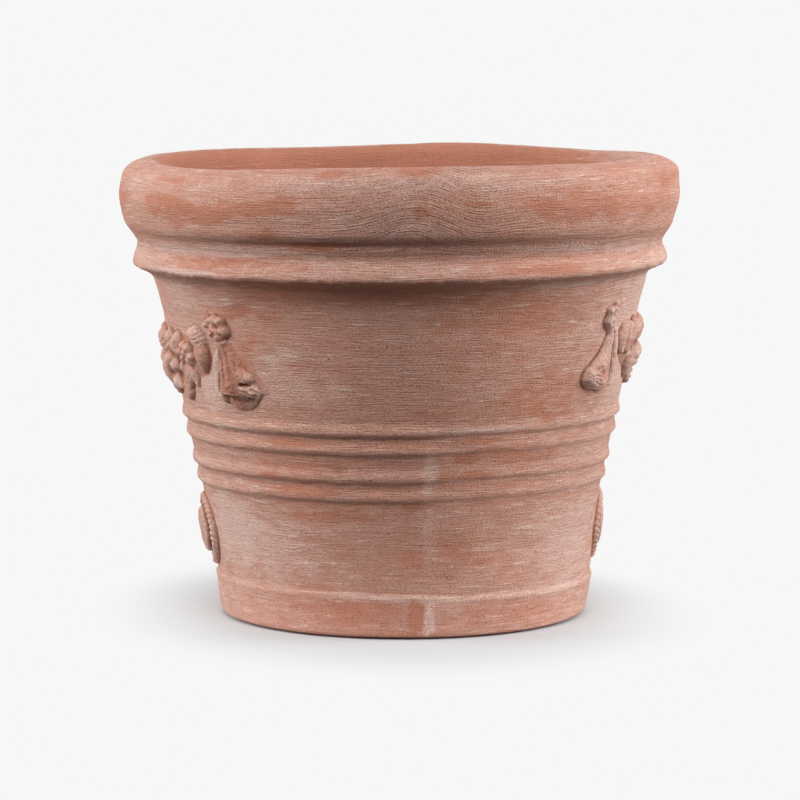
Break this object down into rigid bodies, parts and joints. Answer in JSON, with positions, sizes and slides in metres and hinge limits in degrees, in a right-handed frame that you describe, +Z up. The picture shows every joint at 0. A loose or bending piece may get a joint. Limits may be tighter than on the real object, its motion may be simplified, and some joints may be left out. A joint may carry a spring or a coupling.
{
  "type": "flower pot",
  "caption": "Tapered clay flower pot with a heavy rolled rim, collar bead, ribs, foot band, drain hole and pressed relief ornaments on two opposite sides.",
  "frame": {"origin": "centre of the foot, on the ground", "axes": "+Z up through the mouth, +X and -X through the middles of the two festoons"},
  "size_m": [0.4, 0.4, 0.3248],
  "materials": {
    "terracotta": "fired clay, drag-marked, with pale lime bloom",
    "terracotta_relief": "fired clay, pressed relief, with pale lime bloom"
  },
  "bodies": {
    "root": {"base_slab": "terracotta", "seam_coil": "terracotta", "pot_wall": "terracotta", "collar_bead": "terracotta", "rolled_rim": "terracotta", "festoon_left": "terracotta_relief", "festoon_right": "terracotta_relief", "rosette_left_front": "terracotta_relief", "rosette_left_back": "terracotta_relief", "rosette_right_front": "terracotta_relief", "rosette_right_back": "terracotta_relief", "drape_left_front": "terracotta_relief", "drape_left_back": "terracotta_relief", "drape_right_front": "terracotta_relief", "drape_right_back": "terracotta_relief", "medallion_left": "terracotta_relief", "medallion_right": "terracotta_relief"}
  },
  "joints": []
}
